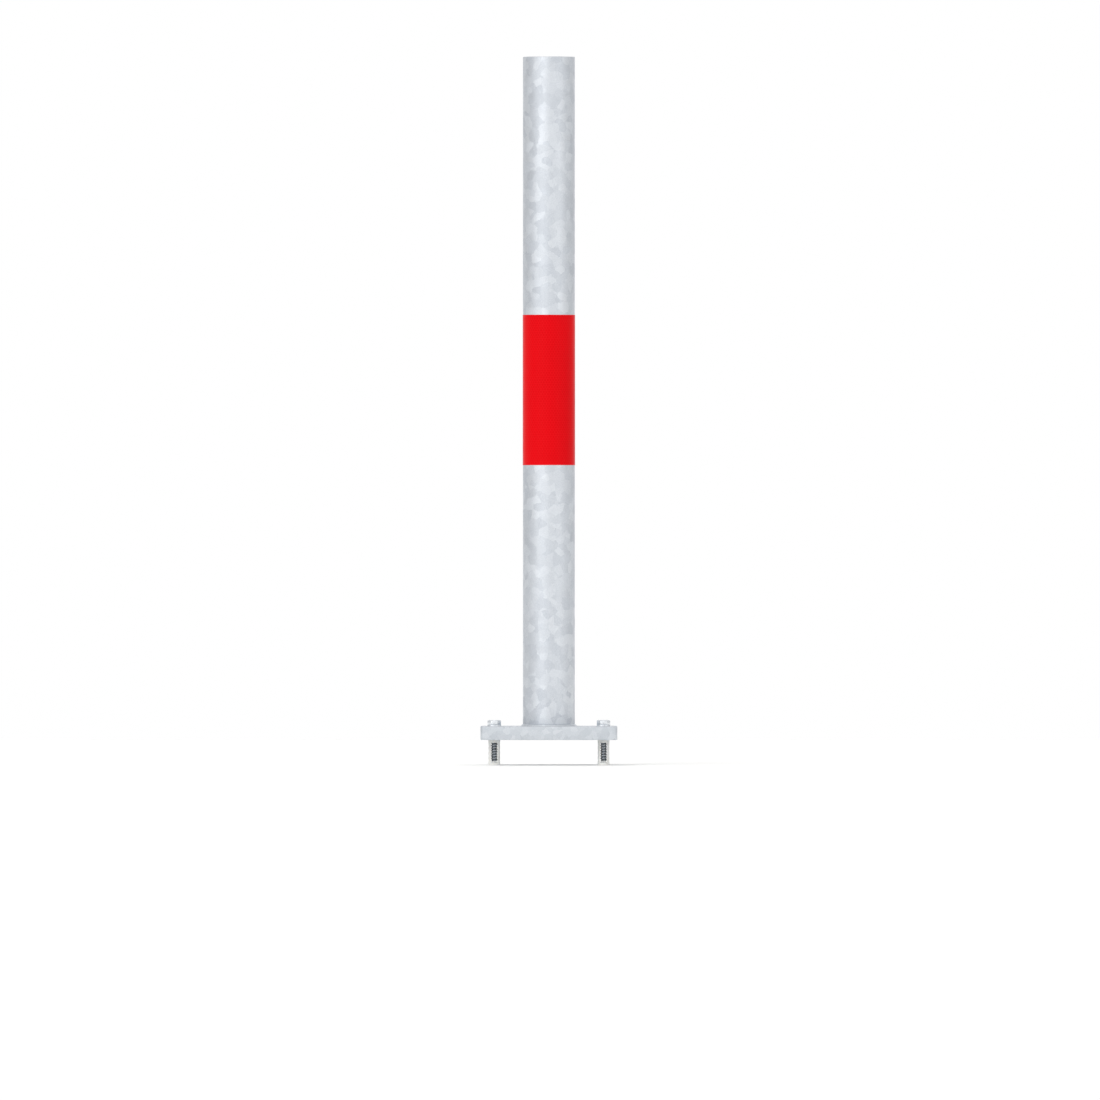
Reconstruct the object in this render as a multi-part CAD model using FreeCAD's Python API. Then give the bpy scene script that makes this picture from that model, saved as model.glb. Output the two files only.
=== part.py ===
import FreeCAD, Part
import math
import os

# Barrier post for screwing down: a round galvanised tube with a welded-in lid,
# welded on a square base plate, with one red reflective band wrapped round it.
# Four hexagon-head screws with washers hold the plate down in expansion plugs.
#
# Millimetres, +Z up, front at -Y. The origin is on the post's axis, level with the
# underside of the base plate, so the plugs hang below zero.

# Post
post_height = 1000.0
tube_diameter = 76.1
tube_wall = 2.9
tube_edge_chamfer = 0.8

# Lid, let into the tube's end and welded in a groove whose weld is finished flush
lid_thickness = 5.0
lid_gap = 0.3
lid_bevel = 3.0

# Reflective film, wrapped once round and lapped over itself at the back
band_height = 220.0
band_bottom = 402.0
band_thickness = 0.4
band_lap = 12.0

# Base plate, with a hole in the middle where the zinc bath runs out of the tube
plate_side = 200.0
plate_thickness = 20.0
plate_corner_radius = 6.0
plate_edge_chamfer = 0.8
drain_hole_diameter = 30.0
foot_weld_leg = 3.0

# Screws, near the corners of the plate, and the holes that they pass through;
# every clearance is on the radius
screw_edge_distance = 20.0
screw_diameter = 10.0
screw_end_gap = 2.2
plate_hole_clearance = 1.0
head_across_flats = 17.0
head_height = 6.4
head_flat_share = 0.95
head_chamfer_deg = 30.0
washer_diameter = 20.0
washer_thickness = 2.0
washer_clearance = 0.25

# Expansion plugs, moulded in two halves: between the collar and the tip they are two legs,
# toothed outside, with a window between them at the front and the back
plug_diameter = 17.0
plug_length = 37.0
plug_collar = 4.0
plug_tip = 4.0
plug_floor = 3.5
plug_clearance = 0.1
plug_window_width = 9.4
plug_tooth_count = 4
plug_tooth_depth = 0.6
plug_tooth_land = 1.5
plug_rim_clearance = 0.75

ORIGIN = FreeCAD.Vector(0, 0, 0)
UP = FreeCAD.Vector(0, 0, 1)
BACK = FreeCAD.Vector(0, 1, 0)
FULL_TURN = 360
HEXAGON_SIDES = 6

tube_radius = tube_diameter / 2
bore_radius = tube_radius - tube_wall
lid_radius = bore_radius - lid_gap
plug_radius = plug_diameter / 2
legs_top = -plug_collar
legs_bottom = plug_tip - plug_length


def turn(points):
    """The solid that a section makes round the Z axis, given as (radius, height) pairs."""
    corners = [FreeCAD.Vector(radius, 0, height) for radius, height in points]
    face = Part.Face(Part.makePolygon(corners + corners[:1]))
    return face.revolve(ORIGIN, UP, FULL_TURN)


def ring(inner, outer, bottom, height, degrees):
    """An upright ring or part of one, which starts at +X and runs towards +Y."""
    foot = FreeCAD.Vector(0, 0, bottom)
    whole = Part.makeCylinder(outer, height, foot, UP, degrees)
    return whole.cut(Part.makeCylinder(inner, height, foot, UP))


def post_tube():
    """Tube that stands on the plate, its outer edge broken at the top."""
    return turn([
        (bore_radius, plate_thickness),
        (tube_radius, plate_thickness),
        (tube_radius, post_height - tube_edge_chamfer),
        (tube_radius - tube_edge_chamfer, post_height),
        (bore_radius, post_height),
    ])


def top_lid():
    """Round blank, level with the end of the tube, its rim bevelled for the weld."""
    return turn([
        (0, post_height - lid_thickness),
        (lid_radius, post_height - lid_thickness),
        (lid_radius, post_height - lid_bevel),
        (lid_radius - lid_bevel, post_height),
        (0, post_height),
    ])


def lid_weld():
    """Weld that fills the groove between lid and tube, finished flush with both."""
    return turn([
        (lid_radius, post_height - lid_bevel),
        (bore_radius, post_height - lid_bevel),
        (bore_radius, post_height),
        (lid_radius - lid_bevel, post_height),
    ])


def foot_weld():
    """Fillet weld in the corner between the tube's foot and the plate."""
    return turn([
        (tube_radius, plate_thickness),
        (tube_radius + foot_weld_leg, plate_thickness),
        (tube_radius, plate_thickness + foot_weld_leg),
    ])


def reflective_band():
    """Film round the tube, and its end lying on its beginning at the back."""
    first = tube_radius + band_thickness
    second = first + band_thickness
    wrap = ring(tube_radius, first, band_bottom, band_height, FULL_TURN)
    lap_degrees = math.degrees(band_lap / first)
    lap = ring(first, second, band_bottom, band_height, lap_degrees)
    lap.rotate(ORIGIN, UP, FULL_TURN / 4 - lap_degrees / 2)
    return wrap.fuse(lap).removeSplitter()


def screw_hole(place):
    """What a drill takes out of the plate at one screw, and a countersink below it.

    The countersink keeps the plate clear of the plug's rim, which is level with its underside.
    """
    hole_radius = screw_diameter / 2 + plate_hole_clearance
    mouth_radius = plug_radius + plug_rim_clearance
    sink_depth = mouth_radius - hole_radius
    hole = Part.makeCylinder(hole_radius, plate_thickness, place, UP)
    return hole.fuse(Part.makeCone(mouth_radius, hole_radius, sink_depth, place, UP))


def base_plate():
    """Square plate with round corners and broken edges, drilled for the screws and the drain."""
    corner = FreeCAD.Vector(-plate_side / 2, -plate_side / 2, 0)
    plate = Part.makeBox(plate_side, plate_side, plate_thickness, corner)
    upright = [edge for edge in plate.Edges if edge.BoundBox.ZLength > plate_thickness / 2]
    plate = plate.makeFillet(plate_corner_radius, upright)
    rim = [edge for edge in plate.Edges if edge.BoundBox.ZLength < plate_thickness / 2]
    plate = plate.makeChamfer(plate_edge_chamfer, rim)
    for place in fixing_points().values():
        plate = plate.cut(screw_hole(place))
    return plate.cut(Part.makeCylinder(drain_hole_diameter / 2, plate_thickness, ORIGIN, UP))


def hexagon_head():
    """Hexagon with its corners at left and right, and a cone that breaks its top corners."""
    bottom = plate_thickness + washer_thickness
    top = bottom + head_height
    side_angle = math.radians(FULL_TURN / HEXAGON_SIDES)
    corner_radius = head_across_flats / 2 / math.cos(side_angle / 2)
    outline = [
        FreeCAD.Vector(
            corner_radius * math.cos(side * side_angle),
            corner_radius * math.sin(side * side_angle),
            bottom,
        )
        for side in range(HEXAGON_SIDES + 1)
    ]
    prism = Part.Face(Part.makePolygon(outline)).extrude(UP * head_height)
    flat_radius = head_flat_share * head_across_flats / 2
    reach = head_across_flats
    drop = (reach - flat_radius) * math.tan(math.radians(head_chamfer_deg))
    cone = turn([
        (0, bottom - drop),
        (reach, bottom - drop),
        (reach, top - drop),
        (flat_radius, top),
        (0, top),
    ])
    return prism.common(cone)


def screw():
    """Screw with its thread left off: the shank has the thread's outer diameter all the way."""
    end = FreeCAD.Vector(0, 0, plug_floor + screw_end_gap - plug_length)
    length = plate_thickness + washer_thickness - end.z
    shank = Part.makeCylinder(screw_diameter / 2, length, end, UP)
    return hexagon_head().fuse(shank).removeSplitter()


def washer():
    """Flat washer on the plate, under the screw's head."""
    bore = screw_diameter / 2 + washer_clearance
    return ring(bore, washer_diameter / 2, plate_thickness, washer_thickness, FULL_TURN)


def plug_sleeve():
    """Blind sleeve, its rim level with the underside of the plate."""
    bore = screw_diameter / 2 + plug_clearance
    floor = plug_floor - plug_length
    return turn([
        (0, -plug_length),
        (plug_radius, -plug_length),
        (plug_radius, legs_bottom),
        (plug_radius, legs_top),
        (plug_radius, 0),
        (bore, 0),
        (bore, floor),
        (0, floor),
    ])


def plug_window():
    """Block that parts the two legs, from the front of the plug to its back."""
    corner = FreeCAD.Vector(-plug_window_width / 2, -plug_radius, legs_bottom)
    return Part.makeBox(plug_window_width, plug_diameter, legs_top - legs_bottom, corner)


def plug_notches():
    """Wedges that leave saw teeth on the right leg: they slide in, and bite when pulled up."""
    pitch = (legs_top - legs_bottom) / plug_tooth_count
    rise = pitch - plug_tooth_land
    inside = plug_radius - plug_tooth_depth
    outside = plug_radius + plug_tooth_depth
    wedges = []
    for tooth in range(plug_tooth_count):
        ledge = legs_bottom + plug_tooth_land / 2 + tooth * pitch
        section = Part.makePolygon([
            FreeCAD.Vector(inside, -plug_radius, ledge),
            FreeCAD.Vector(outside, -plug_radius, ledge),
            FreeCAD.Vector(outside, -plug_radius, ledge + 2 * rise),
            FreeCAD.Vector(inside, -plug_radius, ledge),
        ])
        wedges.append(Part.Face(section).extrude(BACK * plug_diameter))
    return wedges


def plug():
    """Plug whose windows let its legs spread, and let the thread be seen."""
    cutters = [plug_window()]
    for wedge in plug_notches():
        opposite = wedge.copy()
        opposite.rotate(ORIGIN, UP, FULL_TURN / 2)
        cutters += [wedge, opposite]
    return plug_sleeve().cut(cutters)


def fixing_points():
    """The four screw places, named as seen from the front."""
    reach = plate_side / 2 - screw_edge_distance
    return {
        "front_left": FreeCAD.Vector(-reach, -reach, 0),
        "front_right": FreeCAD.Vector(reach, -reach, 0),
        "back_left": FreeCAD.Vector(-reach, reach, 0),
        "back_right": FreeCAD.Vector(reach, reach, 0),
    }


def pieces():
    """Every piece of the post, by name and in its place."""
    made = {
        "post_tube": post_tube(),
        "top_lid": top_lid(),
        "lid_weld": lid_weld(),
        "reflective_band": reflective_band(),
        "base_plate": base_plate(),
        "foot_weld": foot_weld(),
    }
    fixings = {"screw": screw(), "washer": washer(), "plug": plug()}
    for corner, place in fixing_points().items():
        for kind, shape in fixings.items():
            made[f"{kind}_{corner}"] = shape.translated(place)
    return made


os.makedirs("parts", exist_ok=True)
for name, shape in pieces().items():
    shape.exportStep(f"parts/{name}.step")
    print(f"{name}: {len(shape.Solids)} solid, {shape.Volume:.0f} cubic mm, valid {shape.isValid()}")
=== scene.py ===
# %% [markdown]
# # A barrier post for screwing down
#
# The real post keeps cars off a path. It is a round steel tube with a welded lid, welded on a thick
# square plate and dipped in molten zinc, with one band of red reflective film. Four hexagon-head
# screws with washers hold it down in nylon expansion plugs. Here each measured piece gets a
# finely shaped skin and a finish, and every skin keeps to the measured size and place.

import math

import bmesh
import bpy
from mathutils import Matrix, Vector


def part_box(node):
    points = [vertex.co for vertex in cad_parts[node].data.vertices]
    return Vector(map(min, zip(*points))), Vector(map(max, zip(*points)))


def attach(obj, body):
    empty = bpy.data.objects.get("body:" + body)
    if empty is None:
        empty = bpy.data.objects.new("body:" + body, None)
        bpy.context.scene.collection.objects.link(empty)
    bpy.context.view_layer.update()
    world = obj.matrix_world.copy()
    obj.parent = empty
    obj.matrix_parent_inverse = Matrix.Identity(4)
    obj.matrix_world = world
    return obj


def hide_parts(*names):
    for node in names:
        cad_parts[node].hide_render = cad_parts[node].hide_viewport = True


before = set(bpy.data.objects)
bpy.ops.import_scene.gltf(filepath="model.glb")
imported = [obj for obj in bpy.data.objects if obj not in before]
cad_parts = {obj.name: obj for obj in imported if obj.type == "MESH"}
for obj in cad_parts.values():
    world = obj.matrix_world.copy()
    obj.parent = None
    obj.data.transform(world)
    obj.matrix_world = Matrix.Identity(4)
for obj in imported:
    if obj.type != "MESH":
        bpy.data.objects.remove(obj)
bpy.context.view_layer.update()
print("measured pieces:", ", ".join(sorted(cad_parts)))

# %% [markdown]
# ## Sizes
#
# Outer sizes and places are read from the measured pieces, so a skin can't drift away from what it
# stands for. What can't be read off a box, such as a wall or a thread's depth, is a named length.

# %% Read the sizes
MM = 0.001
CORNERS = ("front_left", "front_right", "back_left", "back_right")

tube_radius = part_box("post_tube")[1].x
tube_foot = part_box("post_tube")[0].z
tube_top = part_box("post_tube")[1].z
plate_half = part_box("base_plate")[1].x
plate_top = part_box("base_plate")[1].z
head_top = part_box("screw_front_left")[1].z
screw_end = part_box("screw_front_left")[0].z
washer_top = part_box("washer_front_left")[1].z
plug_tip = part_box("plug_front_left")[0].z


def corner_place(corner):
    """The axis of one screw, at the height of the plate's underside."""
    low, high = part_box("screw_" + corner)
    return Vector(((low.x + high.x) / 2, (low.y + high.y) / 2, 0))


print(f"tube {2000 * tube_radius:.1f} mm wide, top at {1000 * tube_top:.0f} mm, "
      f"plate {2000 * plate_half:.0f} mm wide and {1000 * plate_top:.0f} mm thick")

# %% [markdown]
# ## Tools of the bench
#
# An operator acts on whatever is selected, so each step first selects exactly what it means. By
# hand that is done with clicks, and here with tests of where an edge lies or how a face looks.
# These helpers start a piece, select, apply a modifier, and close a piece when it is done.

# %% Start a piece
def stand_cylinder(radius, foot, top, sides, place=Vector(), turn=0.0):
    """Adds a closed cylinder from one height up to another, on the post's axis or at a place."""
    bpy.ops.mesh.primitive_cylinder_add(
        vertices=sides,
        radius=radius,
        depth=top - foot,
        location=(place.x, place.y, (top + foot) / 2),
        rotation=(0, 0, turn),
    )


def start(name):
    """Names the new primitive, puts its place into its mesh and opens it for editing."""
    piece = bpy.context.object
    piece.name = name
    piece.data.name = name
    bpy.ops.object.transform_apply(location=True, rotation=True, scale=True)
    bpy.ops.object.mode_set(mode="EDIT")
    bpy.ops.mesh.select_mode(type="VERT")
    return piece


def start_at_point(name, point):
    """Starts a piece as a single point, for a section that extruding then draws."""
    bpy.ops.mesh.primitive_plane_add(size=MM, location=point)
    piece = start(name)
    bpy.ops.mesh.select_all(action="SELECT")
    bpy.ops.mesh.merge(type="CENTER")
    return piece


def extrude(offset):
    """Extrudes what is selected by that much."""
    bpy.ops.mesh.extrude_region_move(TRANSFORM_OT_translate={"value": offset})


def draw_line(points):
    """Draws on from the selected point, the first of the list, to each of the others."""
    for here, there in zip(points, points[1:]):
        extrude(there - here)


bpy.ops.object.select_all(action="DESELECT")
print("bench ready, with nothing selected")

# %% Select by place
NEAR = 0.02 * MM
UPRIGHT = 0.9


def reopen(piece):
    """Opens a piece for editing, with nothing else selected."""
    bpy.ops.object.mode_set(mode="OBJECT")
    bpy.ops.object.select_all(action="DESELECT")
    piece.select_set(True)
    bpy.context.view_layer.objects.active = piece
    bpy.ops.object.mode_set(mode="EDIT")


def choose(kind, test):
    """Selects only those verts, edges or faces of the open piece for which the test holds."""
    modes = {"verts": "VERT", "edges": "EDGE", "faces": "FACE"}
    bpy.ops.mesh.select_mode(type=modes[kind])
    bpy.ops.mesh.select_all(action="DESELECT")
    data = bpy.context.object.data
    mesh = bmesh.from_edit_mesh(data)
    for element in getattr(mesh, kind):
        if test(element):
            element.select_set(True)
    mesh.select_flush_mode()
    bmesh.update_edit_mesh(data)


def all_at(element, height=None, radius=None):
    """True if all corners of an edge or face lie at that height and that far from the axis."""
    corners = [vert.co for vert in element.verts]
    at_height = height is None or all(abs(corner.z - height) < NEAR for corner in corners)
    at_radius = radius is None or all(abs(corner.xy.length - radius) < NEAR for corner in corners)
    return at_height and at_radius


def looks_up(face):
    """True if a face looks up."""
    return face.normal.z > UPRIGHT


def looks_down(face):
    """True if a face looks down."""
    return face.normal.z < -UPRIGHT


print(f"places within {1000 * NEAR:.2f} mm of each other count as the same")

# %% Modify, combine and close
DOUBLES = 0.001 * MM


def modify(piece, kind, **settings):
    """Adds one modifier with its settings and applies it."""
    modifier = piece.modifiers.new(kind, kind)
    for name, value in settings.items():
        setattr(modifier, name, value)
    bpy.context.view_layer.objects.active = piece
    bpy.ops.object.modifier_apply(modifier=modifier.name)


def round_edges(piece, width, angle):
    """Rounds each edge at which a piece's faces turn by more than that angle in degrees."""
    limit = math.radians(angle)
    modify(piece, "BEVEL", width=width, segments=2, limit_method="ANGLE", angle_limit=limit)


def combine(piece, other, operation):
    """Cuts another closed piece off this one, or unites the two, and throws the other away."""
    modify(piece, "BOOLEAN", operation=operation, solver="EXACT", object=other)
    bpy.data.objects.remove(other)


def close(piece, sharp=30):
    """Merges doubles, turns every face outwards and shades all but the sharp edges smooth."""
    reopen(piece)
    bpy.ops.mesh.select_all(action="SELECT")
    bpy.ops.mesh.remove_doubles(threshold=DOUBLES)
    bpy.ops.mesh.normals_make_consistent(inside=False)
    bpy.ops.object.mode_set(mode="OBJECT")
    bpy.ops.object.shade_smooth_by_angle(angle=math.radians(sharp))
    x, y, z = 1000 * piece.dimensions
    print(f"{piece.name}: {len(piece.data.polygons)} faces, {x:.1f} x {y:.1f} x {z:.1f} mm")


print(f"points within {1000 * DOUBLES:.3f} mm of each other become one")

# %% [markdown]
# ## The tube
#
# The post's tube is a standard welded steel tube, 76.1 mm wide with a wall of 2.9 mm. An open
# cylinder and a Solidify modifier could give it, but its ends need an edge that can be rounded.
# So a closed cylinder has both ends inset by the wall and their discs deleted, and bridging the
# two rims gives the bore. A bevel rounds the outer edge as grinding and zinc leave it.

# %% Model the tube
ROUND_SIDES = 192
tube_wall = 2.9 * MM
tube_edge_round = 0.8 * MM
bore_radius = tube_radius - tube_wall


def bore_through(wall, bore):
    """Opens the cylinder that is being edited from end to end, with that wall left round it."""
    choose("faces", lambda face: looks_up(face) or looks_down(face))
    bpy.ops.mesh.inset(thickness=wall)
    bpy.ops.mesh.delete(type="FACE")
    choose("edges", lambda edge: all(vert.co.xy.length < bore + NEAR for vert in edge.verts))
    bpy.ops.mesh.bridge_edge_loops()


stand_cylinder(tube_radius, tube_foot, tube_top, ROUND_SIDES)
tube = start("tube_skin")
bore_through(tube_wall, bore_radius)
choose("edges", lambda edge: all_at(edge, height=tube_top, radius=tube_radius))
bpy.ops.mesh.bevel(offset=tube_edge_round, segments=4)
close(tube)

# %% [markdown]
# ## The lid and its weld
#
# An outdoor post is closed, so that no rain stands in it. The lid is a round blank that lies
# level with the tube's end. Its rim is bevelled, and the weld that fills the groove is finished
# flush. Grinding never leaves a perfect plane. That could be sculpted, but a displacement by a
# noise does it evenly all round, and only the weld's inner rings feel it. It only lowers them,
# so nothing stands proud.

# %% Model the lid
lid_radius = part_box("top_lid")[1].x
lid_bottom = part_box("top_lid")[0].z
lid_bevel = 3.0 * MM

stand_cylinder(lid_radius, lid_bottom, tube_top, ROUND_SIDES)
lid = start("lid_skin")
choose("edges", lambda edge: all_at(edge, height=tube_top, radius=lid_radius))
bpy.ops.mesh.bevel(offset=lid_bevel, segments=1)
close(lid)

# %% Model the lid's weld
weld_rings = 8
lid_weld_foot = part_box("lid_weld")[0].z
lid_weld_root = bore_radius - lid_radius
lid_weld_width = lid_weld_root + lid_bevel

stand_cylinder(bore_radius, lid_weld_foot, tube_top, ROUND_SIDES)
lid_weld = start("lid_weld_skin")
choose("faces", looks_up)
for ring in range(weld_rings):
    bpy.ops.mesh.inset(thickness=lid_weld_width / weld_rings)
bpy.ops.mesh.delete(type="FACE")
choose("faces", looks_down)
bpy.ops.mesh.inset(thickness=lid_weld_root)
bpy.ops.mesh.delete(type="FACE")
choose("edges", lambda edge: edge.is_boundary)
bpy.ops.mesh.bridge_edge_loops()
bpy.ops.object.mode_set(mode="OBJECT")
print("lid weld", round(1000 * lid_weld_width, 2), "mm wide in", weld_rings, "rings")

# %% Make the weld's face uneven
uneven_size = 4.0 * MM
uneven_depth = 0.35 * MM
inner_ring = bore_radius - lid_weld_width

worked_face = lid_weld.vertex_groups.new(name="worked face")
for vert in lid_weld.data.vertices:
    on_top = abs(vert.co.z - tube_top) < NEAR
    if on_top and inner_ring + NEAR < vert.co.xy.length < bore_radius - NEAR:
        worked_face.add([vert.index], 1.0, "REPLACE")
unevenness = bpy.data.textures.new("unevenness", "CLOUDS")
unevenness.noise_scale = uneven_size
modify(
    lid_weld,
    "DISPLACE",
    texture=unevenness,
    texture_coords="GLOBAL",
    direction="Z",
    mid_level=1.0,
    strength=uneven_depth,
    vertex_group=worked_face.name,
)
close(lid_weld)

# %% [markdown]
# ## The weld at the foot
#
# A fillet weld joins tube and plate all the way round. Its surface is a row of overlapping
# ripples, one for each time the melt froze, curved like scales because the middle of the melt
# lags behind its edges. One ripple is modelled, and turned copies of it close the ring: that is
# quicker than carving grooves in a plain ring, and each ripple has the same clean form.

# %% Draw the bead's section
weld_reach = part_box("foot_weld")[1].x
weld_leg = weld_reach - tube_radius
bead_steps = 12
bead_bulge = 0.35 * MM
plate_toe = Vector((weld_reach, 0, plate_top))
bead_outwards = Vector((1, 0, 1)).normalized()


def bead_point(share):
    """A point of the bead's section, from the toe on the plate at 0 to the toe on the tube at 1."""
    straight = plate_toe + share * weld_leg * Vector((-1, 0, 1))
    return straight + math.sin(math.pi * share) * bead_bulge * bead_outwards


section = [bead_point(step / bead_steps) for step in range(bead_steps + 1)]
foot_weld = start_at_point("foot_weld_skin", section[0])
draw_line(section)
print("bead section", round(1000 * (section[-1] - section[0]).length, 2), "mm from toe to toe")

# %% Turn the section into one ripple
ripple_count = 72
ripple_steps = 6
ripple_angle = 2 * math.pi / ripple_count
ripple_height = 0.22 * MM
ripple_skew = 0.7
half_step = ripple_angle / ripple_steps / 2


def spun_angle(point):
    """How far a point has been spun round the post from the section that was drawn."""
    return -math.atan2(point.y, point.x)


bpy.ops.mesh.select_all(action="SELECT")
bpy.ops.mesh.spin(steps=ripple_steps, angle=ripple_angle, center=(0, 0, 0), axis=(0, 0, 1))
for row in range(1, bead_steps):
    level = section[row].z
    fullness = math.sin(math.pi * row / bead_steps)
    for column in range(1, ripple_steps):
        turned = ripple_angle * column / ripple_steps
        swelling = math.sin(math.pi * (column / ripple_steps) ** ripple_skew)
        choose("verts", lambda vert: (
            abs(vert.co.z - level) < NEAR and abs(spun_angle(vert.co) - turned) < half_step
        ))
        bpy.ops.transform.translate(value=ripple_height * fullness * swelling * bead_outwards)
print("one ripple is", round(1000 * ripple_angle * weld_reach, 2), "mm long")

# %% Curve the ripple
ripple_lag = 0.6 * ripple_angle


def nearest_row(height):
    """The row of the bead's section that lies nearest to that height."""
    return min(range(bead_steps + 1), key=lambda row: abs(section[row].z - height))


bpy.ops.object.mode_set(mode="OBJECT")
row_of_vert = {vert.index: nearest_row(vert.co.z) for vert in foot_weld.data.vertices}
bpy.ops.object.mode_set(mode="EDIT")
for row in range(1, bead_steps):
    off_middle = 2 * row / bead_steps - 1
    choose("verts", lambda vert: row_of_vert[vert.index] == row)
    bpy.ops.transform.rotate(
        value=ripple_lag * (1 - off_middle ** 2),
        orient_axis="Z",
        center_override=(0, 0, 0),
    )
print("its middle lags", round(math.degrees(ripple_lag), 1), "degrees behind its edges")

# %% Copy the ripple round the tube and close the ring
ripple_gap = 0.005 * MM

bpy.ops.mesh.select_all(action="SELECT")
bpy.ops.mesh.spin(
    dupli=True,
    steps=ripple_count - 1,
    angle=2 * math.pi - ripple_angle,
    center=(0, 0, 0),
    axis=(0, 0, 1),
)
bpy.ops.mesh.select_all(action="SELECT")
bpy.ops.mesh.remove_doubles(threshold=ripple_gap)
choose("edges", lambda edge: edge.is_boundary and all_at(edge, height=plate_top))
bpy.ops.mesh.extrude_region_move()
bpy.ops.transform.resize(value=(tube_radius / weld_reach, tube_radius / weld_reach, 1))
choose("edges", lambda edge: edge.is_boundary)
bpy.ops.mesh.bridge_edge_loops()
close(foot_weld, sharp=50)

# %% [markdown]
# ## The reflective film
#
# The band is one strip of retroreflective film, wrapped once round the tube and lapped over its
# own beginning at the back. A plain ring would be simpler, but it has no end. So it is drawn as
# it is applied: a line that starts at the back, goes once round, climbs over its beginning and
# ends on top of it. Each point of the line remembers how far along the strip it lies, for the
# pattern that is printed along it. Extruding the line upwards makes the strip, and Solidify gives
# it the film's thickness.

# %% Lay out the film's route
film_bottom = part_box("reflective_band")[0].z
film_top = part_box("reflective_band")[1].z
film_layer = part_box("reflective_band")[1].x - tube_radius
film_steps = 180
lap_steps = 10
lap_angle = 12.0 * MM / tube_radius
climb_angle = 4.0 * MM / tube_radius
film_start = math.pi / 2 - lap_angle / 2
climb_start = film_start + 2 * math.pi - climb_angle


def film_point(angle, lift):
    """A point of the film's lower edge, at an angle from +X towards +Y and lifted off the tube."""
    radius = tube_radius + lift
    return Vector((radius * math.cos(angle), radius * math.sin(angle), film_bottom))


route = []
for step in range(film_steps + 1):
    route.append(film_point(film_start + (climb_start - film_start) * step / film_steps, 0))
for step in range(1, lap_steps + 1):
    share = step / lap_steps
    climbed = film_layer * (3 - 2 * share) * share ** 2
    route.append(film_point(climb_start + climb_angle * share, climbed))
for step in range(1, lap_steps + 1):
    route.append(film_point(film_start + lap_angle * step / lap_steps, film_layer))
print("film route of", len(route), "points")

# %% Model the film
film_air = 0.02 * MM

film = start_at_point("film_skin", route[0])
draw_line(route)
bpy.ops.object.mode_set(mode="OBJECT")
along = film.data.attributes.new("along", "FLOAT", "POINT")
travelled = 0.0
for here, there in enumerate(route):
    travelled += (there - route[max(here - 1, 0)]).length
    along.data[here].value = travelled
bpy.ops.object.mode_set(mode="EDIT")
bpy.ops.mesh.select_all(action="SELECT")
extrude((0, 0, film_top - film_bottom))
bpy.ops.mesh.select_all(action="SELECT")
bpy.ops.mesh.normals_make_consistent(inside=False)
bpy.ops.object.mode_set(mode="OBJECT")
modify(film, "SOLIDIFY", thickness=film_layer - film_air, offset=1.0)
close(film, sharp=50)

# %% [markdown]
# ## The base plate
#
# The plate is cut from thick rolled steel, 200 mm square, with rounded corners and edges that
# are broken so that nobody is cut and the zinc keeps to them. It is drilled for the screws, and
# each hole is countersunk below, clear of the plug's rim. A larger hole in the middle lets the
# zinc run out of the tube. A cube with two rounds of bevels makes the blank. Its holes could be
# inset and bridged, but drills in the shape of the real ones cut them exactly in place.

# %% Model the plate's blank
plate_corner = 6.0 * MM
plate_edge = 0.8 * MM

bpy.ops.mesh.primitive_cube_add(
    size=1,
    location=(0, 0, plate_top / 2),
    scale=(2 * plate_half, 2 * plate_half, plate_top),
)
plate = start("plate_skin")
choose("edges", lambda edge: abs(edge.verts[0].co.z - edge.verts[1].co.z) > plate_top / 2)
bpy.ops.mesh.bevel(offset=plate_corner, segments=12)
choose("edges", lambda edge: all_at(edge, height=plate_top) or all_at(edge, height=0))
bpy.ops.mesh.bevel(offset=plate_edge, segments=4)
bpy.ops.object.mode_set(mode="OBJECT")
print("blank", len(plate.data.polygons), "faces")

# %% Drill the plate
SMALL_SIDES = 96
hole_radius = 6.0 * MM
mouth_radius = 9.25 * MM
drain_radius = 15.0 * MM
drill_overrun = 1.0 * MM
drill_top = plate_top + drill_overrun
sink_depth = mouth_radius - hole_radius


def drill_for_screw(place):
    """A drill with a countersink at its lower end, standing in the plate at one screw."""
    spread = (mouth_radius + drill_overrun) / hole_radius
    stand_cylinder(hole_radius, sink_depth, drill_top, SMALL_SIDES, place)
    drill = start("drill")
    choose("faces", looks_down)
    extrude((0, 0, -sink_depth - drill_overrun))
    bpy.ops.transform.resize(value=(spread, spread, 1), center_override=place)
    bpy.ops.object.mode_set(mode="OBJECT")
    return drill


for corner in CORNERS:
    combine(plate, drill_for_screw(corner_place(corner)), "DIFFERENCE")
stand_cylinder(drain_radius, -drill_overrun, drill_top, SMALL_SIDES)
combine(plate, bpy.context.object, "DIFFERENCE")
close(plate)

# %% [markdown]
# ## The screws
#
# Each screw has a hexagon head with a chamfer of 30 degrees, a plain neck and a coarse thread
# with a narrow crest, which bites into nylon. The head is a six-sided cylinder that a wide cone
# trims. The thread is one turn's section, wound up by the Screw modifier, because a thread is
# exactly that. It is cut off flat at both ends, and a chamfer at the lower one lets it find the
# plug's bore. The neck joins head and thread. The screw is modelled once, on the post's axis, and
# each corner gets a copy of it.

# %% Copy a model to the corners
def copy_to(model, name, place):
    """A copy of a finished piece with its own mesh, at another place."""
    bpy.ops.object.select_all(action="DESELECT")
    model.select_set(True)
    bpy.context.view_layer.objects.active = model
    bpy.ops.object.duplicate(linked=False)
    twin = bpy.context.object
    twin.name = name
    twin.data.name = name
    twin.location = place
    bpy.ops.object.transform_apply(location=True, rotation=True, scale=True)
    return twin


def place_at_corners(model, prefix):
    """Copies a piece, modelled on the post's axis, to the four screws, and removes the model."""
    copies = {corner: copy_to(model, prefix + corner, corner_place(corner)) for corner in CORNERS}
    bpy.data.objects.remove(model)
    print(f"{len(copies)} copies named {prefix}...")
    return copies


print("corners:", ", ".join(CORNERS))

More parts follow.
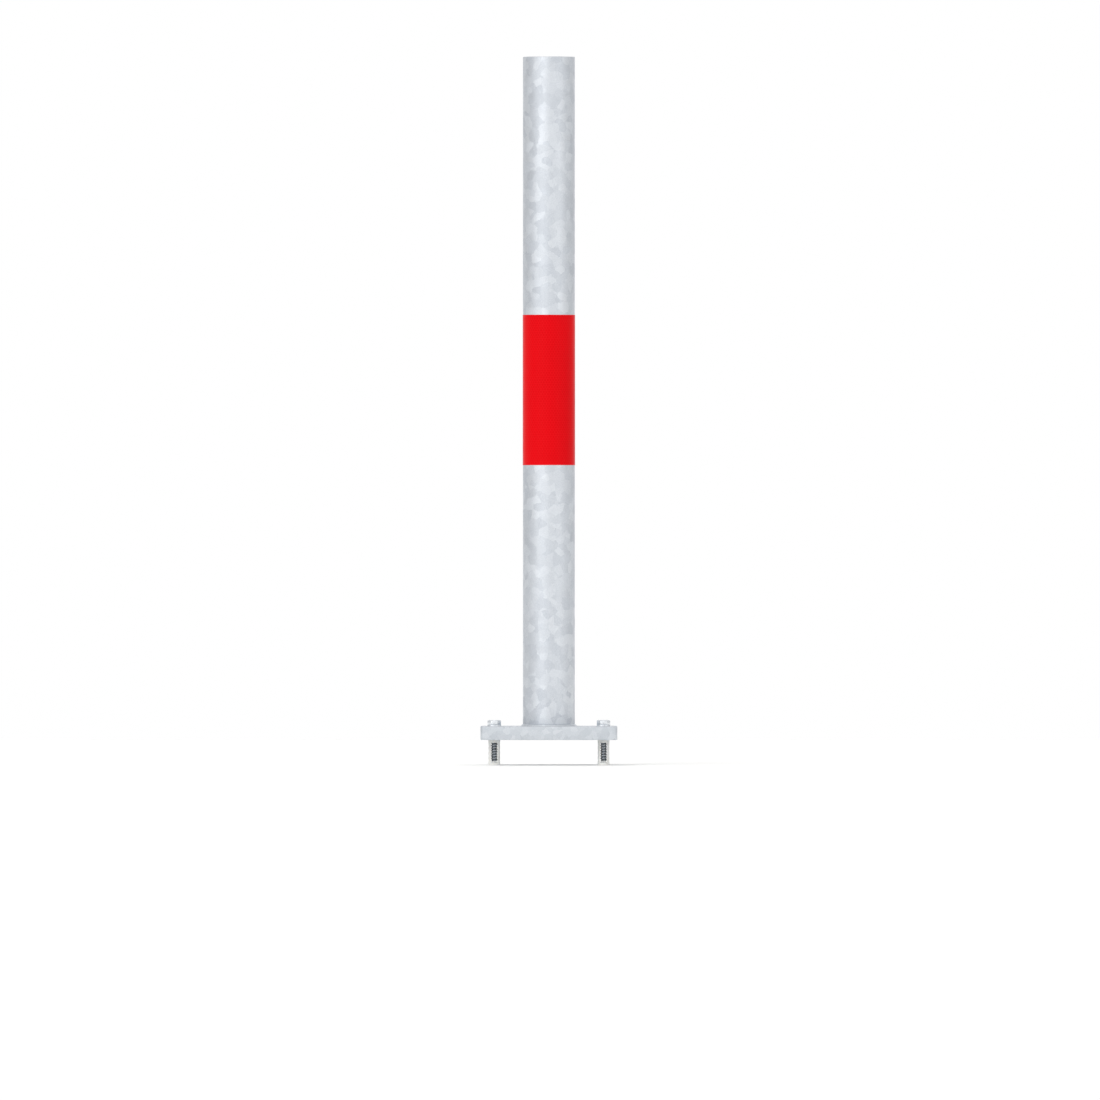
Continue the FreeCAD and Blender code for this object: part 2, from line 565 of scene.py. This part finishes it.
# %% Model the head
head_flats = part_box("screw_front_left")[1].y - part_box("screw_front_left")[0].y
head_corner_radius = head_flats / math.sqrt(3)
head_flat_radius = 0.95 * head_flats / 2
head_chamfer_slope = math.tan(math.radians(30))
head_edge_round = 0.15 * MM
trim_depth = head_top - washer_top + MM
trim_sides = 144

stand_cylinder(head_corner_radius, washer_top, head_top, sides=6, turn=math.pi / 2)
head = start("screw_model")
bpy.ops.object.mode_set(mode="OBJECT")
bpy.ops.mesh.primitive_cone_add(
    vertices=trim_sides,
    radius1=head_flat_radius + trim_depth / head_chamfer_slope,
    radius2=head_flat_radius,
    depth=trim_depth,
    location=(0, 0, head_top - trim_depth / 2),
    rotation=(0, 0, math.pi / trim_sides),
)
combine(head, bpy.context.object, "INTERSECT")
round_edges(head, head_edge_round, angle=20)
print("head", round(1000 * head_flats, 1), "mm across its flats")

# %% Draw one turn of the thread
thread_radius = 5.0 * MM
thread_pitch = 3.8 * MM
thread_depth = 1.5 * MM
crest_width = 0.3 * MM
flank_width = thread_depth * math.tan(math.radians(30))
core_radius = thread_radius - thread_depth
thread_top = 2.0 * MM
thread_base = screw_end - 2 * thread_pitch
flank_start = thread_base + (thread_pitch - crest_width) / 2 - flank_width

thread_section = [
    Vector((core_radius, 0, thread_base)),
    Vector((core_radius, 0, flank_start)),
    Vector((thread_radius, 0, flank_start + flank_width)),
    Vector((thread_radius, 0, flank_start + flank_width + crest_width)),
    Vector((core_radius, 0, flank_start + 2 * flank_width + crest_width)),
    Vector((core_radius, 0, thread_base + thread_pitch)),
]
thread = start_at_point("thread", thread_section[0])
draw_line(thread_section)
bpy.ops.object.mode_set(mode="OBJECT")
print("a turn rises", round(1000 * thread_pitch, 1), "mm")

# %% Wind the thread and cut its ends
thread_sides = 64
thread_turns = math.ceil((thread_top - thread_base) / thread_pitch) + 1

modify(
    thread,
    "SCREW",
    axis="Z",
    angle=2 * math.pi,
    screw_offset=thread_pitch,
    iterations=thread_turns,
    steps=thread_sides,
    render_steps=thread_sides,
    use_merge_vertices=True,
    merge_threshold=DOUBLES,
)
reopen(thread)
for height, above in ((thread_top, True), (screw_end - MM, False)):
    bpy.ops.mesh.select_all(action="SELECT")
    bpy.ops.mesh.bisect(
        plane_co=(0, 0, height),
        plane_no=(0, 0, 1),
        use_fill=True,
        clear_outer=above,
        clear_inner=not above,
        threshold=DOUBLES,
    )
close(thread)

# %% Chamfer the thread's point
point_chamfer = 1.4 * MM
point_top = thread_top + MM

stand_cylinder(thread_radius + NEAR, screw_end, point_top, SMALL_SIDES)
point = start("point")
choose("edges", lambda edge: all_at(edge, height=screw_end))
bpy.ops.mesh.bevel(offset=point_chamfer, segments=1)
bpy.ops.object.mode_set(mode="OBJECT")
combine(thread, point, "INTERSECT")
close(thread)

# %% Join head, neck and thread
neck_radius = thread_radius - 0.05 * MM
neck_top = washer_top + MM
neck_foot = thread_top - 1.5 * MM

stand_cylinder(neck_radius, neck_foot, neck_top, SMALL_SIDES)
combine(head, bpy.context.object, "UNION")
combine(head, thread, "UNION")
close(head)

# %% Note how deep each point of the thread lies, and copy the screw
recess = head.data.attributes.new("recess", "FLOAT", "POINT")
for vert in head.data.vertices:
    if vert.co.z < thread_top:
        depth = thread_radius - vert.co.xy.length
        recess.data[vert.index].value = min(depth / thread_depth, 1.0)
screws = place_at_corners(head, "screw_skin_")

# %% [markdown]
# ## The washers
#
# A flat washer is punched from strip, so its upper rims are rolled over and its lower rims are
# sharp. It is a very short tube, so it is made as the tube is, and a bevel rolls its upper rims.

# %% Model one washer and copy it
washer_radius = (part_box("washer_front_left")[1].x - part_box("washer_front_left")[0].x) / 2
washer_bore = 5.25 * MM
washer_roll = 0.35 * MM

stand_cylinder(washer_radius, plate_top, washer_top, SMALL_SIDES)
washer = start("washer_model")
bore_through(washer_radius - washer_bore, washer_bore)
choose("edges", lambda edge: any(
    all_at(edge, height=washer_top, radius=rim) for rim in (washer_radius, washer_bore)
))
bpy.ops.mesh.bevel(offset=washer_roll, segments=3)
close(washer)
washers = place_at_corners(washer, "washer_skin_")

# %% [markdown]
# ## The expansion plugs
#
# A plug is moulded in white nylon: a blind sleeve, split by a window at the front and the back
# into two legs with saw teeth, which slide in and bite when they are pulled. The sleeve is a
# cylinder, inset and pushed in for its bore. The teeth could be extruded from the legs, but they
# are what is left between cuts, so wedges cut them, as one block cuts the window. A small bevel
# gives every edge the rounding that a mould needs.

# %% Model the plug's sleeve
plug_radius = (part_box("plug_front_left")[1].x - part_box("plug_front_left")[0].x) / 2
plug_bore = 5.1 * MM
plug_floor = 3.5 * MM
plug_sides = 112

stand_cylinder(plug_radius, plug_tip, 0, plug_sides)
plug = start("plug_model")
choose("faces", looks_up)
bpy.ops.mesh.inset(thickness=plug_radius - plug_bore)
extrude((0, 0, plug_tip + plug_floor))
bpy.ops.object.mode_set(mode="OBJECT")
print("sleeve", round(-1000 * plug_tip, 1), "mm long")

# %% Cut the window
plug_collar = 4.0 * MM
window_width = 9.4 * MM
legs_top = -plug_collar
legs_bottom = plug_tip + plug_collar

bpy.ops.mesh.primitive_cube_add(
    size=1,
    location=(0, 0, (legs_top + legs_bottom) / 2),
    scale=(window_width, 3 * plug_radius, legs_top - legs_bottom),
)
combine(plug, bpy.context.object, "DIFFERENCE")
print("window", round(1000 * (legs_top - legs_bottom), 1), "mm high")

# %% Cut the teeth
tooth_count = 4
tooth_depth = 0.6 * MM
tooth_land = 1.5 * MM
tooth_pitch = (legs_top - legs_bottom) / tooth_count
wedge_height = 2 * (tooth_pitch - tooth_land)


def tooth_wedge(side, ledge):
    """What is cut out above one ledge of a leg, on the left for -1 or on the right for 1."""
    corners = [
        Vector((side * (plug_radius - tooth_depth), -2 * plug_radius, ledge)),
        Vector((side * (plug_radius + tooth_depth), -2 * plug_radius, ledge)),
        Vector((side * (plug_radius + tooth_depth), -2 * plug_radius, ledge + wedge_height)),
    ]
    wedge = start_at_point("wedge", corners[0])
    draw_line(corners)
    bpy.ops.mesh.select_all(action="SELECT")
    bpy.ops.mesh.edge_face_add()
    extrude((0, 4 * plug_radius, 0))
    bpy.ops.mesh.select_all(action="SELECT")
    bpy.ops.mesh.normals_make_consistent(inside=False)
    bpy.ops.object.mode_set(mode="OBJECT")
    return wedge


for side in (-1, 1):
    for tooth in range(tooth_count):
        ledge = legs_bottom + tooth_land / 2 + tooth * tooth_pitch
        combine(plug, tooth_wedge(side, ledge), "DIFFERENCE")
print(tooth_count, "teeth on each leg,", round(1000 * tooth_pitch, 2), "mm apart")

# %% Round the edges and copy the plug
mould_round = 0.12 * MM

round_edges(plug, mould_round, angle=30)
close(plug, sharp=50)
modify(plug, "WEIGHTED_NORMAL", keep_sharp=True)
plugs = place_at_corners(plug, "plug_skin_")

# %% [markdown]
# ## Every skin in its place
#
# Each skin stands for the measured piece of the same name. The post is one rigid body, so every
# skin rides on the same one. The table lists each skin's finish too, but nothing here reads it.

# %% Attach the skins
skins = {
    "post_tube": (tube, "galvanised_steel"),
    "top_lid": (lid, "galvanised_steel"),
    "lid_weld": (lid_weld, "galvanised_weld"),
    "foot_weld": (foot_weld, "galvanised_weld"),
    "reflective_band": (film, "red_reflective_film"),
    "base_plate": (plate, "galvanised_steel"),
}
for corner in CORNERS:
    skins["screw_" + corner] = (screws[corner], "zinc_plated_screw")
    skins["washer_" + corner] = (washers[corner], "zinc_plated_washer")
    skins["plug_" + corner] = (plugs[corner], "white_nylon")
for node, (skin, slot) in skins.items():
    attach(skin, "root")
    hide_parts(node)
print(len(skins), "skins attached")

# %% [markdown]
# ## Tools of the finishing shop
#
# Every finish is a small tree of nodes that reads Object coordinates, so its pattern stays on the
# piece. A colour is written as it looks on a screen and is turned to the linear light that the
# renderer counts in. A pattern's scale is one over its real size in metres.

# %% Add and wire nodes
# The numbers of a Mix node's sockets for colours and for vectors: two that go in and the one that
# comes out.
COLOUR_A, COLOUR_B, COLOUR_OUT = 6, 7, 2
VECTOR_A, VECTOR_B, VECTOR_OUT = 4, 5, 1


def wire(finish, node, links):
    """Puts a value or a node's output at each socket. A whole node stands for its first output."""
    for socket, source in links.items():
        if isinstance(source, bpy.types.Node):
            source = source.outputs[0]
        if isinstance(source, bpy.types.NodeSocket):
            finish.node_tree.links.new(source, node.inputs[socket])
        else:
            node.inputs[socket].default_value = source


def add(finish, kind, links=None, **settings):
    """Adds a node with settings of its own, and wires its sockets."""
    node = finish.node_tree.nodes.new("ShaderNode" + kind)
    for name, value in settings.items():
        setattr(node, name, value)
    wire(finish, node, links or {})
    return node


print("colours go in at sockets", COLOUR_A, "and", COLOUR_B, "of a Mix node")

# %% Start a finish
def linear(code):
    """The linear colour of a hex code such as D1D6DC, by the curve of the sRGB standard."""
    colour = []
    for place in (0, 2, 4):
        share = int(code[place:place + 2], 16) / 255
        colour.append(share / 12.92 if share <= 0.04045 else ((share + 0.055) / 1.055) ** 2.4)
    return (*colour, 1.0)


def new_finish(name, constants):
    """A material whose shader has these constant values; gives the material and its shader."""
    finish = bpy.data.materials.new(name)
    finish.use_nodes = True
    shader = finish.node_tree.nodes["Principled BSDF"]
    wire(finish, shader, constants)
    return finish, shader


def wear(finish, *pieces):
    """Gives the finish to every face of each piece."""
    for piece in pieces:
        piece.data.materials.clear()
        piece.data.materials.append(finish)


print("D1D6DC is", [round(share, 3) for share in linear("D1D6DC")[:3]], "in linear light")

# %% [markdown]
# ## Hot-dip galvanised steel
#
# The steel is dipped in molten zinc, which freezes into crystals of 8 to 15 mm, the spangle. Each
# crystal lies at its own angle, so it is a shade lighter or darker than the next one, and fine
# branches run through it. The zinc also drains down the post, which leaves faint upright runs,
# and it is cloudier where the steel was hotter. A Voronoi cell stands for a crystal. A noise with
# much fine detail warps the cells' edges, because crystals are feathered where they meet. A
# cell's random colour turns its branches and tilts its surface a little, and the rest is noise at
# the size of the real marks. The thick plate cools slowly, so its crystals are smaller and its
# zinc is duller than the tube's, and on the narrow welds there is room for small crystals only.

# %% Grow the crystals
branch_stretch = 7.0


def grow_crystals(finish, place, crystal):
    """Crystals of one size: the random colour and axis of each, their borders and branches."""
    feather_size = 0.5 * crystal
    feather_reach = 0.6 * crystal
    branch_size = 0.5 * crystal
    branch_turn = 2.0
    border_width = 0.04

    feathers = add(finish, "TexNoise", {
        "Vector": place,
        "Scale": 1 / feather_size,
        "Detail": 8.0,
        "Roughness": 0.72,
    }).outputs["Color"]
    bent = add(
        finish,
        "VectorMath",
        {0: feathers, 1: (feather_reach,) * 3, 2: place},
        operation="MULTIPLY_ADD",
    )
    cells = {"Vector": bent, "Scale": 1 / crystal}
    flakes = add(finish, "TexVoronoi", cells).outputs["Color"]
    distance = add(finish, "TexVoronoi", cells, feature="DISTANCE_TO_EDGE")
    borders = add(finish, "MapRange", {"Value": distance, "From Max": border_width})

    axis = add(finish, "VectorMath", {0: flakes, 1: (0.5,) * 3}, operation="SUBTRACT")
    turned = add(
        finish,
        "VectorRotate",
        {"Vector": place, "Axis": axis, "Angle": branch_turn},
        rotation_type="AXIS_ANGLE",
    )
    slender = (1.0, branch_stretch, branch_stretch)
    stretched = add(finish, "Mapping", {"Vector": turned, "Scale": slender})
    branches = add(finish, "TexNoise", {
        "Vector": stretched,
        "Scale": 1 / branch_size,
        "Detail": 4.0,
    })
    return flakes, axis, borders, branches


print(f"a crystal's branches are {branch_stretch:.0f} times as long as they are wide")

# %% Tilt the crystals and raise the runs
flake_tilt = 0.07


def add_relief(finish, axis, runs, branches):
    """Where the surface faces: each crystal tilts by its axis, and runs and branches are raised."""
    outwards = add(finish, "NewGeometry").outputs["Normal"]
    leaning = add(
        finish,
        "VectorMath",
        {0: axis, 1: (flake_tilt,) * 3, 2: outwards},
        operation="MULTIPLY_ADD",
    )
    tilted = add(finish, "VectorMath", {0: leaning}, operation="NORMALIZE")
    swollen = add(finish, "Bump", {
        "Height": runs,
        "Normal": tilted,
        "Strength": 0.35,
        "Distance": 0.25 * MM,
    })
    return add(finish, "Bump", {
        "Height": branches,
        "Normal": swollen,
        "Strength": 0.3,
        "Distance": 0.05 * MM,
    })


print("crystals tilt by up to", round(math.degrees(flake_tilt / 2), 1), "degrees each way")

# %% Make the galvanised finish
run_width = 30 * MM
cloud_size = 110 * MM


def galvanised(name, crystal, run_height, colours, gloss):
    """Zinc with crystals of one size and runs of one height, between two colours and two
    roughnesses, of which the first goes with the dark and dull places."""
    finish, shader = new_finish(name, {"Metallic": 1.0})
    place = add(finish, "TexCoord").outputs["Object"]
    flakes, axis, borders, branches = grow_crystals(finish, place, crystal)
    flake = add(finish, "SeparateColor", {"Color": flakes})
    tall = (1.0, 1.0, run_width / run_height)
    upright = add(finish, "Mapping", {"Vector": place, "Scale": tall})
    runs = add(finish, "TexNoise", {"Vector": upright, "Scale": 1 / run_width, "Detail": 3.0})
    clouds = add(finish, "TexNoise", {"Vector": place, "Scale": 1 / cloud_size, "Detail": 2.0})

    tone = 0.0
    for mark, share in (
        (clouds, 0.12),
        (flake.outputs["Red"], 0.28),
        (branches, 0.65),
        (runs, 0.14),
        (borders, 0.06),
    ):
        tone = add(finish, "Math", {0: mark, 1: share, 2: tone}, operation="MULTIPLY_ADD")
    brightness = add(finish, "MapRange", {"Value": tone, "From Min": 0.42, "From Max": 0.85})
    colour = add(
        finish,
        "Mix",
        {0: brightness, COLOUR_A: linear(colours[0]), COLOUR_B: linear(colours[1])},
        data_type="RGBA",
    ).outputs[COLOUR_OUT]
    shine = add(finish, "Math", {0: flake.outputs["Green"], 1: branches}, operation="MULTIPLY")
    roughness = add(finish, "MapRange", {
        "Value": shine,
        "From Max": 0.6,
        "To Min": gloss[0],
        "To Max": gloss[1],
    })
    relief = add_relief(finish, axis, runs, branches)
    wire(finish, shader, {"Base Color": colour, "Roughness": roughness, "Normal": relief})
    return finish


print("runs", round(1000 * run_width), "mm wide, clouds", round(1000 * cloud_size), "mm wide")

# %% Dip the tube, the plate and the welds
tube_zinc = galvanised("galvanised tube", 12 * MM, 240 * MM, ("C5CAD1", "DEE2E7"), (0.54, 0.34))
plate_zinc = galvanised("galvanised plate", 8 * MM, 60 * MM, ("C1C7CD", "D9DDE2"), (0.58, 0.4))
weld_zinc = galvanised("galvanised weld", 5 * MM, 30 * MM, ("C3C8CE", "D6DBE1"), (0.46, 0.34))
wear(tube_zinc, tube, lid)
wear(plate_zinc, plate)
wear(weld_zinc, foot_weld, lid_weld)
print("spangle of 12 mm on the tube, 8 mm on the plate, 5 mm on the welds")

# %% [markdown]
# ## Red retroreflective film
#
# The film is a clear, smooth plastic over a red layer that throws light back. It is sealed in
# small hexagons, and their walls show as a fine, slightly lighter net. The net runs along the
# strip, so it breaks where one end of the strip lies on the other, as on the real thing, and the
# cut end itself is a thin dark line. Each half of a lattice of hexagons is a plain grid, and the
# nearer one gives the place inside the cell. The reflection is kept low, because the film's own
# red is what the eye sees.

# %% Unroll the film
cell_width = 4.0 * MM
row_gap = math.sqrt(3)

red_film, film_shader = new_finish("red retroreflective film", {
    "Roughness": 0.3,
    "IOR": 1.49,
    "Specular IOR Level": 0.06,
})
film_place = add(red_film, "TexCoord").outputs["Object"]
film_length = add(red_film, "Attribute", attribute_name="along").outputs["Fac"]
film_height = add(red_film, "SeparateXYZ", {"Vector": film_place}).outputs["Z"]
strip = add(red_film, "CombineXYZ", {"X": film_length, "Y": film_height})
in_cells = (1 / cell_width,) * 3
unrolled = add(red_film, "VectorMath", {0: strip, 1: in_cells}, operation="MULTIPLY")
print("strip", round(1000 * travelled), "mm long, hexagons", round(1000 * cell_width, 2), "mm wide")

# %% Find the place inside the nearest hexagon
half_cell = (0.5, row_gap / 2, 0.0)

nearest = []
for shift in ((0.0, 0.0, 0.0), half_cell):
    shifted = add(red_film, "VectorMath", {0: unrolled, 1: shift}, operation="ADD")
    wrapped = add(
        red_film,
        "VectorMath",
        {0: shifted, 1: (1.0, row_gap, 1.0), 2: (0.0, 0.0, 0.0)},
        operation="WRAP",
    )
    inside = add(red_film, "VectorMath", {0: wrapped, 1: half_cell}, operation="SUBTRACT")
    reach = add(red_film, "VectorMath", {0: inside}, operation="LENGTH").outputs["Value"]
    nearest.append((inside, reach))
(first_inside, first_reach), (second_inside, second_reach) = nearest
first_nearer = add(red_film, "Math", {0: first_reach, 1: second_reach}, operation="LESS_THAN")
inside = add(
    red_film,
    "Mix",
    {0: first_nearer, VECTOR_A: second_inside, VECTOR_B: first_inside},
    data_type="VECTOR",
).outputs[VECTOR_OUT]
print("a row of hexagons is", round(1000 * cell_width * row_gap / 2, 2), "mm high")

# %% Draw the net
wall_start = 0.42
wall_end = 0.47

folded = add(red_film, "VectorMath", {0: inside}, operation="ABSOLUTE")
straight = add(red_film, "SeparateXYZ", {"Vector": folded}).outputs["X"]
slanted = add(red_film, "VectorMath", {0: folded, 1: half_cell}, operation="DOT_PRODUCT")
from_middle = add(
    red_film,
    "Math",
    {0: slanted.outputs["Value"], 1: straight},
    operation="MAXIMUM",
)
net = add(
    red_film,
    "MapRange",
    {"Value": from_middle, "From Min": wall_start, "From Max": wall_end},
    interpolation_type="SMOOTHSTEP",
)
print("the net's lines are", round(2000 * cell_width * (0.5 - wall_start), 2), "mm wide")

# %% Colour the film
fade_size = 70 * MM
cut_width = 0.7 * MM
cut_start = travelled - cut_width

fade = add(red_film, "TexNoise", {"Vector": film_place, "Scale": 1 / fade_size, "Detail": 2.0})
cut = add(red_film, "Math", {0: film_length, 1: cut_start}, operation="GREATER_THAN")
red = linear("CD0009")
for share, code in ((fade, "DC000C"), (net, "E01119"), (cut, "8C0A10")):
    red = add(
        red_film,
        "Mix",
        {0: share, COLOUR_A: red, COLOUR_B: linear(code)},
        data_type="RGBA",
    ).outputs[COLOUR_OUT]
pressed = add(red_film, "Bump", {"Height": net, "Strength": 0.4, "Distance": 0.05 * MM})
wire(red_film, film_shader, {"Base Color": red, "Normal": pressed})
wear(red_film, film)
print("the film's last", round(1000 * cut_width, 1), "mm are its dark cut end")

# %% [markdown]
# ## Zinc-plated steel
#
# Screws and washers have a thin bright layer of electroplated zinc, smoother and whiter than the
# dipped zinc. Under it a forged head keeps a faint scale texture and a stamped washer the fine
# lines of the rolled strip. The plating is a little cloudy, and its gloss varies with the clouds.
# It hardly reaches the valleys of the thread, which stay dull, and a painted shade darkens them.
# The screw's mesh says how deep each of its points lies, and a high power of that keeps the crest
# and its flanks bright, free of the painted shade.

# %% Make the plated finish
def plated(name, grain, stretch, colours, gloss):
    """Bright zinc over a grain of one size, stretched along Y by a factor, between two colours
    and two roughnesses, duller in the thread's valleys and darkened there by painted shade."""
    plating_cloud = 6 * MM
    valley_shade_sharpness = 5.0
    valley_dullness = 0.3

    finish, shader = new_finish(name, {"Metallic": 1.0})
    place = add(finish, "TexCoord").outputs["Object"]
    drawn = add(finish, "Mapping", {"Vector": place, "Scale": (1.0, 1 / stretch, 1.0)})
    marks = add(finish, "TexNoise", {"Vector": drawn, "Scale": 1 / grain, "Detail": 4.0})
    clouds = add(finish, "TexNoise", {"Vector": place, "Scale": 1 / plating_cloud, "Detail": 2.0})
    tone = add(finish, "Math", {0: marks, 1: clouds}, operation="ADD")
    brightness = add(finish, "MapRange", {"Value": tone, "From Min": 0.7, "From Max": 1.3})
    depth = add(finish, "Attribute", attribute_name="recess").outputs["Fac"]
    # Painted shade: the deeper a point lies in the thread, the more its colour turns to dark grey
    # 6E747A.
    painted_valley_shade = add(finish, "Math", {0: depth, 1: valley_shade_sharpness}, operation="POWER")
    colour = linear(colours[0])
    for share, code in ((brightness, colours[1]), (painted_valley_shade, "6E747A")):
        colour = add(
            finish,
            "Mix",
            {0: share, COLOUR_A: colour, COLOUR_B: linear(code)},
            data_type="RGBA",
        ).outputs[COLOUR_OUT]
    polish = add(finish, "MapRange", {"Value": brightness, "To Min": gloss[0], "To Max": gloss[1]})
    roughness = add(
        finish,
        "Math",
        {0: depth, 1: valley_dullness, 2: polish},
        operation="MULTIPLY_ADD",
    )
    relief = add(finish, "Bump", {"Height": marks, "Strength": 0.3, "Distance": 0.03 * MM})
    wire(finish, shader, {"Base Color": colour, "Roughness": roughness, "Normal": relief})
    return finish


print("plated finish ready")

# %% Plate the screws and washers
screw_zinc = plated(
    "bright zinc on forged steel",
    grain=0.7 * MM,
    stretch=1.0,
    colours=("DADEE3", "ECF0F4"),
    gloss=(0.34, 0.2),
)
washer_zinc = plated(
    "bright zinc on rolled strip",
    grain=0.4 * MM,
    stretch=14.0,
    colours=("D2D6DB", "E4E8ED"),
    gloss=(0.32, 0.18),
)
wear(screw_zinc, *screws.values())
wear(washer_zinc, *washers.values())
print("plated finishes on", len(screws), "screws and", len(washers), "washers")

# %% [markdown]
# ## White moulded nylon
#
# The plugs are injection-moulded in undyed nylon, which is a warm white that light enters for a
# millimetre or so. The mould's eroded face leaves a fine matt grain, and the melt's flow faint
# long clouds. So the colour stays nearly even, and the life comes from the depth and the grain.

# %% Make the nylon
light_depth = 1.2 * MM
flow_width = 5.0 * MM
flow_stretch = 5.0
eroded_grain = 0.35 * MM

nylon, nylon_shader = new_finish("undyed moulded nylon", {
    "IOR": 1.53,
    "Subsurface Weight": 0.25,
    "Subsurface Radius": (1.0, 0.85, 0.7),
    "Subsurface Scale": light_depth,
})
nylon_place = add(nylon, "TexCoord").outputs["Object"]
flowing = (1.0, 1.0, 1 / flow_stretch)
lengthened = add(nylon, "Mapping", {"Vector": nylon_place, "Scale": flowing})
flow = add(nylon, "TexNoise", {"Vector": lengthened, "Scale": 1 / flow_width, "Detail": 3.0})
matt = add(nylon, "TexNoise", {"Vector": nylon_place, "Scale": 1 / eroded_grain, "Detail": 2.0})
nylon_white = add(
    nylon,
    "Mix",
    {0: flow, COLOUR_A: linear("D0D1CE"), COLOUR_B: linear("E1E1DE")},
    data_type="RGBA",
).outputs[COLOUR_OUT]
nylon_rough = add(nylon, "MapRange", {"Value": flow, "To Min": 0.38, "To Max": 0.52})
eroded = add(nylon, "Bump", {"Height": matt, "Strength": 0.25, "Distance": 0.03 * MM})
wire(nylon, nylon_shader, {"Base Color": nylon_white, "Roughness": nylon_rough, "Normal": eroded})
wear(nylon, *plugs.values())
print("nylon on", len(plugs), "plugs")

# %% [markdown]
# ## Camera
#
# The view is exactly from the front, with no perspective to be seen. A very long lens, far away,
# gives that. Its distance and height come from four readings of the picture, in its own pixels:
# the heights of the post's top and of the plate's underside, the post's axis, and the frame.

# %% Set up the camera
frame_pixels = 1100
top_pixel = 56.84
underside_pixel = 739.64
axis_pixel = 548.9
lens = 1000.0
sensor = 36.0

pixel = tube_top / (underside_pixel - top_pixel)
view_width = frame_pixels * pixel
view_height = (underside_pixel - frame_pixels / 2) * pixel
view_side = (frame_pixels / 2 - axis_pixel) * pixel
distance = view_width * lens / sensor

camera_data = bpy.data.cameras.new("front view")
camera_data.lens = lens
camera_data.sensor_width = sensor
camera_data.clip_end = 4 * distance
camera = bpy.data.objects.new("front view", camera_data)
camera.location = (view_side, -distance, view_height)
camera.rotation_euler = (math.pi / 2, 0, 0)
bpy.context.collection.objects.link(camera)
bpy.context.scene.camera = camera
print(f"camera {distance:.2f} m away, one pixel is {1000 * pixel:.3f} mm")

# %% [markdown]
# ## Floor and light
#
# The floor is plain and pale, at the height of the plugs' tips, and ends behind the post where
# its far edge meets the height of the plate's underside in the picture. The backdrop is white,
# and soft panels stand round the post, brightest at the front left. A rough metal mirrors them
# blurred, so the tube is light in the middle and darker towards its sides. One wide key light
# from above gives the soft shadows. It isn't mirrored, because it would burn the lid and the
# plate white from behind. A much weaker and narrower light, which is only mirrored, gives rims,
# welds and screws a soft glint.

# %% Lay the floor
floor_back = distance * -plug_tip / view_height
floor_front = 30.0
floor_side = 20.0
floor_gap = 0.1 * MM
floor_cloud_size = 250 * MM

bpy.ops.mesh.primitive_plane_add(size=1, location=(0, 0, 0))
bpy.ops.transform.resize(value=(2 * floor_side, floor_front + floor_back, 1))
bpy.ops.transform.translate(value=(0, (floor_back - floor_front) / 2, plug_tip - floor_gap))
bpy.ops.object.transform_apply(location=True, rotation=True, scale=True)
floor = bpy.context.object
floor.name = "floor"
floor_paint, floor_shader = new_finish("pale matt floor", {"Roughness": 0.8})
floor_cloud = add(floor_paint, "TexNoise", {
    "Vector": add(floor_paint, "TexCoord").outputs["Object"],
    "Scale": 1 / floor_cloud_size,
    "Detail": 4.0,
})
floor_colour = add(
    floor_paint,
    "Mix",
    {0: floor_cloud, COLOUR_A: linear("F3F3F2"), COLOUR_B: linear("F8F8F7")},
    data_type="RGBA",
).outputs[COLOUR_OUT]
wire(floor_paint, floor_shader, {"Base Color": floor_colour})
wear(floor_paint, floor)
print(f"floor ends {floor_back:.2f} m behind the post")

# %% Set up the white studio
horizon_light = 0.64
zenith_light = 0.88
backdrop_light = 1.0
white = (1.0, 1.0, 1.0, 1.0)

studio = bpy.context.scene
studio.view_settings.view_transform = "Standard"
walls = bpy.data.worlds.new("white studio")
walls.use_nodes = True
studio.world = walls
outwards = add(walls, "TexCoord").outputs["Generated"]
rise = add(walls, "SeparateXYZ", {"Vector": outwards}).outputs["Z"]
glow = add(walls, "MapRange", {"Value": rise, "To Min": horizon_light, "To Max": zenith_light})
print("studio light", horizon_light, "at the horizon and", zenith_light, "overhead")

# %% Stand the soft panels round the post
def towards(compass, height):
    """The direction that many degrees round the post from the front, and above level."""
    turn, lift = math.radians(compass), math.radians(height)
    return Vector((
        math.sin(turn) * math.cos(lift),
        -math.cos(turn) * math.cos(lift),
        math.sin(lift),
    ))


# Compass and height in degrees, sharpness of the edge, strength.
panels = ((-32, 10, 6, 0.92), (46, 8, 9, 0.55), (180, 10, 10, 0.7))
for compass, height, sharpness, strength in panels:
    facing = add(
        walls,
        "VectorMath",
        {0: outwards, 1: towards(compass, height)},
        operation="DOT_PRODUCT",
    ).outputs["Value"]
    ahead = add(walls, "Math", {0: facing, 1: 0.0}, operation="MAXIMUM")
    lobe = add(walls, "Math", {0: ahead, 1: sharpness}, operation="POWER")
    glow = add(walls, "Math", {0: lobe, 1: strength, 2: glow}, operation="MULTIPLY_ADD")
lit = add(walls, "Background", {"Color": white, "Strength": glow})
backdrop = add(walls, "Background", {"Color": white, "Strength": backdrop_light})
seen = add(walls, "LightPath").outputs["Is Camera Ray"]
shown = add(walls, "MixShader", {0: seen, 1: lit, 2: backdrop})
wire(walls, walls.node_tree.nodes["World Output"], {"Surface": shown})
print(len(panels), "soft panels round the post")

# %% Hang the key light and the glint
key_compass = -35
key_height = 52


def hang(name, energy, width, **visibility):
    """Hangs a far light in the key light's direction, with its strength and width in degrees."""
    data = bpy.data.lights.new(name, "SUN")
    data.energy = energy
    data.angle = math.radians(width)
    light = bpy.data.objects.new(name, data)
    light.rotation_euler = towards(key_compass, key_height).to_track_quat("Z", "Y").to_euler()
    for way, visible in visibility.items():
        setattr(light, way, visible)
    bpy.context.collection.objects.link(light)


hang("key light", energy=0.9, width=26, visible_glossy=False)
hang("glint", energy=0.1, width=6, visible_diffuse=False)
print("key light and glint", key_height, "degrees above level")
